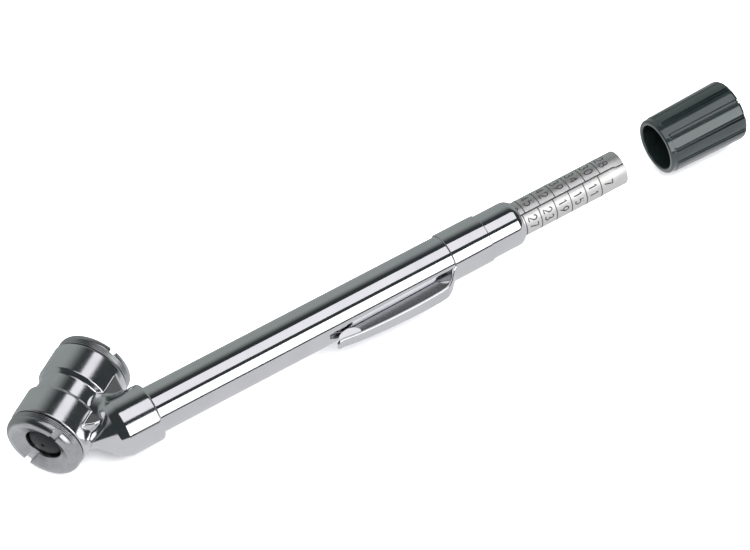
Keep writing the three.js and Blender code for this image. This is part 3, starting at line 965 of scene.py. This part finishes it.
def rolled_bar():
    """Sheet rolled into a tube, its edges nearly meeting in a fine seam with rounded lips."""
    radius, bore, edge = BAR["radius"], BAR["bore"], BAR["edge"]
    half_gap = math.degrees(BAR["seam"] / 2 / radius)
    lip = math.degrees(edge / radius)
    sheet = 360 - 2 * half_gap
    jog_from = BAR["tip"] - BAR["jog_length"]
    stations = [BAR["start"], BAR["start"] + edge * 0.3, BAR["start"] + edge,
                *np.linspace(BAR["plain_from"], jog_from - 1, 8),
                *np.linspace(jog_from, jog_from + BAR["jog_run"], 6),
                *(BAR["tip"] - edge * (1 - np.sin(np.radians([0, 22, 45, 67, 90]))))]
    # Degrees round the sheet from one edge to the other, and how far each place drops at a lip.
    leans = [lip * share for share in LIP_STEPS]
    leans += [lip + (sheet - 2 * lip) * k / BAR_SIDES for k in range(1, BAR_SIDES)]
    leans += [sheet - lip * share for share in LIP_STEPS[::-1]]
    lip_drops = [edge * (1 - share) ** 2 for share in LIP_STEPS]
    drops = [*lip_drops, *[0] * (BAR_SIDES - 1), *lip_drops[::-1]]
    inner_leans = [sheet - sheet * k / BAR_SIDES for k in range(BAR_SIDES + 1)]
    sections = []
    for x in stations:
        from_end = min(x - BAR["start"], BAR["tip"] - x)
        dip = edge - math.sqrt(max(edge**2 - max(edge - from_end, 0) ** 2, 0))
        edge_lean = seam_lean(x) + half_gap
        loop = [(radius - dip - drop, edge_lean + lean) for lean, drop in zip(leans, drops)]
        loop += [(bore, edge_lean + lean) for lean in inner_leans]
        sections.append([np.array([x, 0, 0]) + around(r, lean) for r, lean in loop])
    return mesh_object("rolled_bar", sweep(sections), ALONG_BARREL)


def ellipse(x, y, rx, ry, from_angle, to_angle, steps=14):
    angles = np.radians(np.linspace(from_angle, to_angle, steps + 1))
    return [(x + rx * math.cos(a), y + ry * math.sin(a)) for a in angles]


RIBBON_STEP = 0.5  # how often a mark's line bends round the bar

# Each figure's strokes in a unit box, x to the right and y up.
FIGURES = {
    "0": [ellipse(0.5, 0.5, 0.42, 0.5, 0, 360, 28)],
    "1": [[(0.25, 0.78), (0.55, 1.0), (0.55, 0.0)]],
    "2": [[*ellipse(0.5, 0.7, 0.4, 0.3, 170, -35), (0.1, 0.0), (0.92, 0.0)]],
    "3": [[*ellipse(0.47, 0.75, 0.36, 0.25, 150, -90), *ellipse(0.47, 0.26, 0.42, 0.26, 90, -150)]],
    "4": [[(0.72, 0.0), (0.72, 1.0), (0.08, 0.3), (0.95, 0.3)]],
    "5": [[(0.85, 1.0), (0.2, 1.0), (0.14, 0.56), *ellipse(0.47, 0.33, 0.4, 0.33, 120, -145)]],
    "6": [[(0.75, 1.0), *ellipse(0.5, 0.32, 0.4, 0.32, 160, -200, 26)]],
    "7": [[(0.1, 1.0), (0.9, 1.0), (0.4, 0.0)]],
    "8": [ellipse(0.5, 0.76, 0.33, 0.24, -90, 270, 22), ellipse(0.5, 0.27, 0.42, 0.27, -90, 270, 22)],
    "9": [[(0.25, 0.0), *ellipse(0.5, 0.68, 0.4, 0.32, -20, 340, 26)]],
}


def ribbon(path, width, closed=False, proud=SCALE["proud"]):
    """A thin filled line on the bar's surface. The path is a list of (x, lean in millimetres round)."""
    points = np.array(path, float)
    fine = [points[0]]
    for a, b in zip(points, points[1:]):
        pieces = max(1, int(np.linalg.norm(b - a) / RIBBON_STEP))
        fine += [a + (b - a) * k / pieces for k in range(1, pieces + 1)]
    fine = np.array(fine)
    tangent = np.gradient(fine, axis=0)
    if closed:
        tangent[0] = tangent[-1] = fine[1] - fine[-2]
    tangent /= np.linalg.norm(tangent, axis=1, keepdims=True)
    normal = np.stack([-tangent[:, 1], tangent[:, 0]], 1) * width / 2
    low, high = BAR["radius"] + proud - SCALE["sunk"], BAR["radius"] + proud
    sections = []
    for point, side in zip(fine, normal):
        left, right = point - side, point + side
        corners = ((left, low), (right, low), (right, high), (left, high))
        sections.append([np.array([edge[0], 0, 0]) + around(radius, math.degrees(edge[1] / BAR["radius"]))
                         for edge, radius in corners])
    return outward(sweep(sections))


def joined(shapes):
    vertices, faces = [], []
    for part_vertices, part_faces in shapes:
        first = len(vertices)
        vertices += [tuple(v) for v in part_vertices]
        faces += [tuple(first + i for i in face) for face in part_faces]
    return vertices, faces


def number(text, x, start):
    """A number read round the bar from start, in millimetres round, its figures' tops to +X."""
    shapes = []
    height, width = SCALE["digit_height"], SCALE["digit_width"]
    for place, figure in enumerate(text):
        left = start + place * (width + SCALE["digit_gap"])
        for stroke in FIGURES[figure]:
            path = [(x + height * v, left + width * u) for u, v in stroke]
            loop = np.allclose(path[0], path[-1])
            shapes.append(ribbon(path, SCALE["digit_line"], loop))
    return shapes


def upper_value(k):
    """The number in the upper column's cell k: a few uneven ones first, then even steps."""
    past = k - len(UPPER_FIRST) + 1
    return UPPER_FIRST[k] if past < 1 else UPPER_FIRST[-1] + VALUE_STEP * past


def scale_marks():
    """Two columns of numbered cells, one each side of the seam, stepped against each other, and a line of
    painted shade along the seam.
    """
    seam = math.radians(BAR["seam_lean"]) * BAR["radius"]
    two_figures = 2 * SCALE["digit_width"] + SCALE["digit_gap"]
    shapes = []
    for k in range(SCALE["rows"]):
        lower = SCALE["first_lower"] - k * SCALE["pitch"]
        upper = SCALE["first_upper"] - k * SCALE["pitch"]
        for x, side in ((lower, 1), (upper, -1)):
            ends = [(x, seam + side * MARKS["line_from"]), (x, seam + side * MARKS["line_to"])]
            shapes.append(ribbon(ends, SCALE["line"]))
        value = str(LOWER_FIRST + VALUE_STEP * k)
        start = seam + MARKS["number_from"] + (MARKS["one_figure"] if len(value) == 1 else 0)
        shapes += number(value, lower + MARKS["above_line"], start)
        start = seam - MARKS["number_from"] - two_figures
        shapes += number(str(upper_value(k)), upper + MARKS["above_line"], start)
    # A dark ribbon sunk into the seam, in the scale's filling: painted shade in the gap between the sheet's
    # edges.
    seam_shade_line = [(x, math.radians(seam_lean(x)) * BAR["radius"])
                 for x in np.linspace(BAR["start"] + 1, BAR["tip"] - BAR["edge"], 60)]
    shapes.append(ribbon(seam_shade_line, BAR["seam"] + BAR["edge"], proud=-0.02))
    return mesh_object("scale_marks", joined(shapes), ALONG_BARREL)


finish_piece(rolled_bar(), "indicator", "indicator_bar", bar_metal("bar_metal"))
marks = scale_marks()
marks.data.materials.append(filled_mark("scale_filling_and_seam_shade"))
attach(marks, "indicator")


def bar_plug():
    return turned("bar_plug", [
        (FOOT["flange_back"], 0),
        (FOOT["flange_back"], FOOT["flange"], 0.15),
        (FOOT["flange_front"], FOOT["flange"], 0.1),
        (FOOT["flange_front"], FOOT["plug"], 0.1),
        (FOOT["plug_end"], FOOT["plug"], 0.4),
        (FOOT["plug_end"], 0),
    ])


finish_piece(bar_plug(), "indicator", "bar_foot",
             moulded_plastic("plug_plastic", (0.78, 0.76, 0.7), (0.84, 0.82, 0.77), (0.4, 0.55), 0.5))

# ---------------------------------------------------------------- pocket clip

# The clip's outer face seen from above, from its root under the band to its turned-out tip.
CLIP_LINE = [
    (78.6, -5.86), (77.3, -6.02), (76.2, -6.75), (75.0, -7.85), (73.2, -8.8), (70.0, -9.1),
    (64.0, -9.17), (56.5, -8.95), (50.0, -8.5), (47.2, -8.12), (45.6, -7.9), (44.3, -8.05),
]
CLIP_STATIONS = 90
SPLINE_STEPS = 24  # steps worked out between two points of the line
FOLD_STEPS = 8  # facets round each of the clip's folds
WALL_STEPS = 6  # facets across its outer wall, so that the root can curl round the barrel


def spline(points, count):
    """A smooth line through points, evenly spaced along its length."""
    control = np.array(points, float)
    control = np.vstack([2 * control[0] - control[1], control, 2 * control[-1] - control[-2]])
    dense = []
    for p0, p1, p2, p3 in zip(control, control[1:], control[2:], control[3:]):
        for t in np.linspace(0, 1, SPLINE_STEPS, endpoint=False):
            dense.append(0.5 * (2 * p1 + (p2 - p0) * t + (2 * p0 - 5 * p1 + 4 * p2 - p3) * t**2
                                + (3 * p1 - p0 - 3 * p2 + p3) * t**3))
    dense = np.array([*dense, control[-2]])
    travelled = np.concatenate([[0], np.cumsum(np.linalg.norm(np.diff(dense, axis=0), axis=1))])
    wanted = np.linspace(0, travelled[-1], count)
    return np.stack([np.interp(wanted, travelled, dense[:, n]) for n in (0, 1)], 1), travelled[-1]


def clip_section(half, flange, lean, sheet, fold):
    """The channel's section: (depth towards the barrel, height). It goes once round."""
    lean = math.radians(lean)
    slope = np.array([math.cos(lean), -math.sin(lean)])
    corner = [np.array([fold - fold * math.cos(a), half - fold + fold * math.sin(a)])
              for a in np.linspace(0, math.pi / 2 + lean * 0.999, FOLD_STEPS + 1)]
    end = corner[-1] + slope * max(flange - corner[-1][0], LEAST_FLAT)
    inner_fold = max(fold - sheet, LEAST_FOLD)
    inner = [np.array([fold - inner_fold * math.cos(a), half - fold + inner_fold * math.sin(a)])
             for a in np.linspace(0, math.pi / 2 + lean * 0.999, 7)]
    inner_end = inner[-1] + slope * max(flange - inner[-1][0], LEAST_FLAT)
    bulge, across = LIP_BULGE * sheet * slope, (inner_end - end) * LIP_ROUND
    lip = [end, end + bulge + across, inner_end + bulge - across, inner_end]
    upper_outer = [*corner, *lip[:2]]
    upper_inner = [lip[2], lip[3], *inner[::-1]]
    flat = np.array([1, -1])
    lower_inner = [p * flat for p in upper_inner[::-1]]
    lower_outer = [p * flat for p in upper_outer[::-1]]
    heights = np.linspace(fold - half, half - fold, WALL_STEPS + 1)[1:-1]
    outer_wall = [np.array([0, height]) for height in heights]
    inner_wall = [np.array([fold - inner_fold, height]) for height in heights[::-1]]
    return [*upper_outer, *upper_inner, *inner_wall, *lower_inner, *lower_outer, *outer_wall]


def clip_run(name, travelled):
    """How far a change along the clip has come, from 0 to 1."""
    start, over = CLIP_RUNS[name]
    return ease((travelled - start) / over)


def clip_half(travelled, length):
    """Half the clip's height: it flares where it leaves the band and has rounded tip corners."""
    half = CLIP["root_half"] + (CLIP["tip_half"] - CLIP["root_half"]) * travelled / length
    half += ROOT_FLARE * (1 - clip_run("root", travelled))
    to_tip = length - travelled
    if to_tip < TIP_ROUND:
        half *= TIP_SHARE + (1 - TIP_SHARE) * math.sqrt(max(1 - (1 - to_tip / TIP_ROUND) ** 2, 0))
    return half


def room_to_tube(point, height):
    """How deep the clip may reach at a height before it would touch the barrel."""
    radius = BARREL["radius"] + CLIP["clear"]
    return -point[1] - CLIP["inset"] - math.sqrt(radius**2 - min(height, radius) ** 2)


def clip_loop(point, inward, section, curl):
    """A section placed on the clip's line, curled round the barrel by a share from 0 to 1."""
    loop = []
    radius = BARREL["radius"]
    for depth, height in section:
        depth += CLIP["inset"] + curl * (radius - math.sqrt(radius**2 - min(height**2, radius**2 - 1)))
        flat = point + inward * depth
        loop.append((flat[0], flat[1], height))
    return loop


def ear_section(reach, half, side):
    """The low lug that stands from the fold near the tip."""
    lean, sheet = math.radians(EAR["lean"]), EAR["sheet"]
    along = np.array([math.cos(lean), math.sin(lean)])
    across = np.array([math.sin(lean), -math.cos(lean)]) * sheet
    root = np.array([EAR["root"], half - EAR["sunk"]])
    near_tip, tip = root + along * (reach - EAR["round"]), root + along * reach
    loop = [root, near_tip, tip + across / 4, tip + across * 3 / 4, near_tip + across, root + across]
    return [(depth, side * height) for depth, height in loop][::side]


def pocket_clip():
    line, length = spline(CLIP_LINE, CLIP_STATIONS)
    tangents = np.gradient(line, axis=0)
    tangents /= np.linalg.norm(tangents, axis=1, keepdims=True)
    channel, ears = [], {1: [], -1: []}
    ear_middle, ear_half = (EAR["end"] + EAR["start"]) / 2, (EAR["end"] - EAR["start"]) / 2
    for i, (point, tangent) in enumerate(zip(line, tangents)):
        travelled = length * i / (CLIP_STATIONS - 1)
        to_tip = length - travelled
        half = clip_half(travelled, length)
        fade = clip_run("flange", travelled) * clip_run("tip", to_tip)
        sheet = CLIP["sheet"] * (ROOT_SHEET + (1 - ROOT_SHEET) * clip_run("root", travelled))
        flange = sheet + (CLIP["flange"] - sheet) * fade
        edge_height = half - sheet - flange * math.sin(math.radians(CLIP["flange_lean"]))
        flange = max(min(flange, room_to_tube(point, edge_height)), sheet)
        curl = 1 - clip_run("curl", travelled)
        inward = np.array([-tangent[1], tangent[0]]) * (1 if tangent[0] > 0 else -1)
        section = clip_section(half, flange, CLIP["flange_lean"], sheet, CLIP["fold"])
        channel.append(clip_loop(point, inward, section, curl))
        off = (to_tip - ear_middle) / ear_half
        if abs(off) < 1:
            reach = EAR["root"] + EAR["reach"] * math.sqrt(1 - off**2)
            reach = min(reach, room_to_tube(point, half) - EAR["root"])
            for side, loops in ears.items():
                loops.append(clip_loop(point, inward, ear_section(reach, half, side), 0))
    lean = ALONG_BARREL @ Matrix.Rotation(math.radians(CLIP["turned"]), 4, "X")
    shapes = [outward(sweep(sections)) for sections in (channel, ears[1], ears[-1])]
    obj = mesh_object("sheet_clip", joined(shapes), lean, sharp=40)
    # Faces 0 and 1 close the channel's ends. In each loop the outer wall and folds come first and last.
    round_loop = len(channel[0])
    # Flange and inside faces take the second material, whose darker colour is painted shade.
    for face in obj.data.polygons[2:2 + (CLIP_STATIONS - 1) * round_loop]:
        place = (face.index - 2) % round_loop
        face.material_index = int(FOLD_STEPS <= place <= round_loop // 2 + FOLD_STEPS + 2)
    return obj


clip = pocket_clip()
finish_piece(clip, "clip", "pocket_clip",
             chrome("clip_chrome", ALONG_BARREL, BUFFED_ALONG, (0.06, 0.14), 0.7))
# The channel's flanges and inside take a duller steel, and its darker colour is painted shade.
clip.data.materials.append(
    drawn_steel("clip_inside_dull_painted_shade", ALONG_BARREL, (0.58, 0.59, 0.61), (0.43, 0.44, 0.46)))

# ---------------------------------------------------------------- cap


def cap_radius(x, angle):
    """A cone with grooves that deepen to the closed end, each with a thin rib along its floor."""
    along = x - CAP["mouth_x"]
    step_up = CAP["panel"] * ease((along - CAP["rim_land"]) / CAP["panel_run"])
    growth = CAP["end_radius"] - CAP["mouth_radius"] - CAP["panel"]
    cone = CAP["mouth_radius"] + step_up + growth * along / CAP["length"]
    step = 360 / CAP["grooves"]
    off = abs((math.degrees(angle) + step / 2) % step - step / 2)
    wall = 1 - ease((off - GROOVE["wall"]) / GROOVE["wall_slope"])
    rib = 1 - ease((off - GROOVE["rib"]) / GROOVE["rib_slope"])
    depth = GROOVE["depth"] + GROOVE["deepens"] * along / CAP["length"]
    depth *= ease((along - CAP["rim_land"]) / CAP["groove_run"])
    return cone - depth * wall + GROOVE["rib_height"] * depth * rib


def fluted_cap():
    step = 360 / CAP["grooves"]
    offsets = [*[-o for o in FLUTE_STEPS[:0:-1]], *FLUTE_STEPS, step / 2]
    angles = np.radians([step * k + o for k in range(CAP["grooves"]) for o in offsets])
    mouth, end = CAP["mouth_x"], CAP["mouth_x"] + CAP["length"]
    rim, back, bore = CAP["rim_round"], CAP["end_round"], CAP["bore"]
    rings = []

    def ring(x, radius_at):
        """A ring at x, its radius a number or a function of the angle."""
        radii = [radius_at(a) if callable(radius_at) else radius_at for a in angles]
        rings.append([(x, r * math.cos(a), r * math.sin(a)) for r, a in zip(radii, angles)])

    floor, corner = end - CAP["end_wall"], CAP_INSIDE["corner"]
    floor_radius = bore - corner - CAP_INSIDE["floor_edge"]
    ring(floor, CAP_INSIDE["pole"])
    ring(floor, floor_radius)
    for share in np.radians(np.linspace(0, 90, 6)):
        ring(floor - corner + corner * math.cos(share), floor_radius + corner * math.sin(share))
    ring(floor - CAP_INSIDE["straight"], bore - CAP_INSIDE["draft"])
    ring(mouth + CAP_INSIDE["mouth"], bore)
    size = CAP_INSIDE["mouth_round"]
    for share in np.radians(np.linspace(0, 90, 5)):
        ring(mouth + size * (1 - math.sin(share)), bore + size * (1 - math.cos(share)))
    for share in np.radians(np.linspace(90, 0, 7)):
        ring(mouth + rim * (1 - math.sin(share)), CAP["mouth_radius"] - rim * (1 - math.cos(share)))
    step_up = np.linspace(mouth + rim + 0.3, mouth + 2.6, 12)
    for x in (*step_up, *np.linspace(mouth + 3.2, end - back, 30)):
        ring(x, lambda a: cap_radius(x, a))
    for share in np.radians(np.linspace(15, 90, 8)):
        inset = back * (1 - math.cos(share))
        ring(end - back * (1 - math.sin(share)), lambda a: cap_radius(end - back, a) - inset)
    ring(end, CAP_RECESS["edge"])
    ring(end - CAP_RECESS["depth"], CAP_RECESS["radius"])
    ring(end - CAP_RECESS["depth"], CAP_INSIDE["pole"])
    return mesh_object("fluted_cap", sweep(rings), ALONG_BARREL, sharp=40)


finish_piece(fluted_cap(), "cap", "protective_cap",
             moulded_plastic("cap_plastic", (0.005, 0.008, 0.008), (0.01, 0.0145, 0.0145), (0.1, 0.17), 1.0))

# ---------------------------------------------------------------- studio

gauge_centre = (cad_low + cad_high) / 2
FLOOR_HALF = 6.0  # metres, as all the studio's sizes are
FLOOR_GAP = 0.0002  # between the gauge and the floor

# Curved cards that only reflections see. Each is (from, to) in degrees round the barrel from
# straight up towards -Y, (from, to) along it in shares of its radius, the radius, colour and strength.
CARDS = {
    "dark_room": ((-30, 89.8), (-8, 8), 1.75, (0.8, 0.97, 1.0), 0.04),
    "softbox_above": ((-12, 27.5), (-0.3, 0.9), 1.5, (0.98, 0.96, 1.0), 1.0),
    "softbox_front": ((42.5, 82.5), (-0.3, 0.9), 1.5, (1.0, 1.0, 1.0), 1.9),
}
# A painted reflection of a room behind the gauge: glowing bands that only reflections see, their strength at
# angles round the barrel.
ROOM_ANGLES = (-150, -136, -118, -58, -46, -38, -32, -28)
ROOM_STRENGTHS = (0.55, 0.42, 0.33, 0.32, 0.24, 0.14, 0.08, 0.05)
ROOM_BANDS = 30
ROOM_RADIUS = 1.8
ROOM_COLOUR = (0.93, 1.0, 0.98)
# Each light is (azimuth, elevation) in degrees, distance, (width, height) and energy in watts.
LIGHTS = {
    "key": ((20, 60), 1.2, (1.2, 0.9), 34),
    "fill": ((-110, 45), 1.4, (1.2, 1.0), 14),
    "back": ((170, 50), 1.4, (1.2, 0.8), 12),
}


def emission(name, colour, strength):
    material = bpy.data.materials.new(name)
    material.use_nodes = True
    tree = material.node_tree
    tree.nodes.clear()
    glow = tree.nodes.new("ShaderNodeEmission")
    glow.inputs["Color"].default_value = (*colour, 1)
    glow.inputs["Strength"].default_value = strength
    output = tree.nodes.new("ShaderNodeOutputMaterial")
    tree.links.new(glow.outputs[0], output.inputs[0])
    return material


def only_reflected(obj):
    obj.visible_camera = False
    obj.visible_diffuse = False
    obj.visible_shadow = False
    obj.visible_transmission = False
    obj.visible_volume_scatter = False


def stage_piece(name, vertices, faces, material):
    """A mesh that belongs to the studio, not to the gauge."""
    mesh = bpy.data.meshes.new(name)
    mesh.from_pydata(vertices, [], faces)
    mesh.materials.append(material)
    obj = linked(name, mesh)
    return obj


def card(name, turn, reach, radius, colour, strength):
    vertices = []
    angles = np.radians(np.linspace(*turn, 24))
    for angle in angles:
        for x in reach:
            vertices.append((gauge_centre.x + x * radius, gauge_centre.y - radius * math.sin(angle),
                             gauge_centre.z + radius * math.cos(angle)))
    faces = [(2 * i, 2 * i + 1, 2 * i + 3, 2 * i + 2) for i in range(len(angles) - 1)]
    only_reflected(stage_piece(name, vertices, faces, emission(name, colour, strength)))


def flat(name, far, height, material):
    """A level square, or only as much of it as lies in front of far."""
    near = -FLOOR_HALF
    corners = [(near, near), (FLOOR_HALF, near), (FLOOR_HALF, far), (near, far)]
    vertices = [(gauge_centre.x + x, gauge_centre.y + y, height) for x, y in corners]
    return stage_piece(name, vertices, [(0, 1, 2, 3)], material)


def paper(name):
    nodes = Nodes(name)
    grain = nodes.noise(nodes.place(MILLIMETRES), 0.05, 2.0)
    nodes.colour(grain, (0.9, 0.9, 0.905), (0.92, 0.92, 0.925))
    nodes.set(Roughness=0.9, Specular_IOR_Level=0.1)
    return nodes.material


def soft_light(name, angles, distance, size, energy):
    data = bpy.data.lights.new(name, "AREA")
    data.shape = "RECTANGLE"
    data.size, data.size_y = size
    data.energy = energy
    light = linked(name, data)
    back = way_out(*angles)
    light.location = gauge_centre + back * distance
    light.rotation_euler = (-back).to_track_quat("-Z", "Y").to_euler()
    light.visible_camera = False
    light.visible_glossy = False


# Glowing bands seen only in reflections: a painted room reflection, brighter towards -150 degrees and darker
# towards -28 degrees.
def graded_room():
    edges = np.linspace(ROOM_ANGLES[0], ROOM_ANGLES[-1], ROOM_BANDS + 1)
    for k, turn in enumerate(zip(edges, edges[1:])):
        strength = np.interp(sum(turn) / 2, ROOM_ANGLES, ROOM_STRENGTHS)
        card(f"room_{k}", turn, (-8, 8), ROOM_RADIUS, ROOM_COLOUR, strength)


def studio():
    floor = flat("floor", FLOOR_HALF, cad_low.z - FLOOR_GAP, paper("floor_paper"))
    floor.visible_glossy = False
    # A glowing sheet below the floor that only reflections see, greyer than the floor the camera sees: a
    # painted reflection of the floor.
    only_reflected(flat("floor_in_reflections", 0.0, cad_low.z - 2 * FLOOR_GAP,
                        emission("painted_floor_reflection", (0.97, 0.97, 1.0), 0.67)))
    graded_room()
    for name, settings in CARDS.items():
        card(name, *settings)
    for name, settings in LIGHTS.items():
        soft_light(name, *settings)
    bpy.context.scene.view_settings.view_transform = "Standard"
    world = bpy.data.worlds.new("world")
    bpy.context.scene.world = world
    world.use_nodes = True
    background = world.node_tree.nodes["Background"]
    background.inputs["Color"].default_value = (0.95, 0.96, 1.0, 1)
    background.inputs["Strength"].default_value = 0.8


studio()
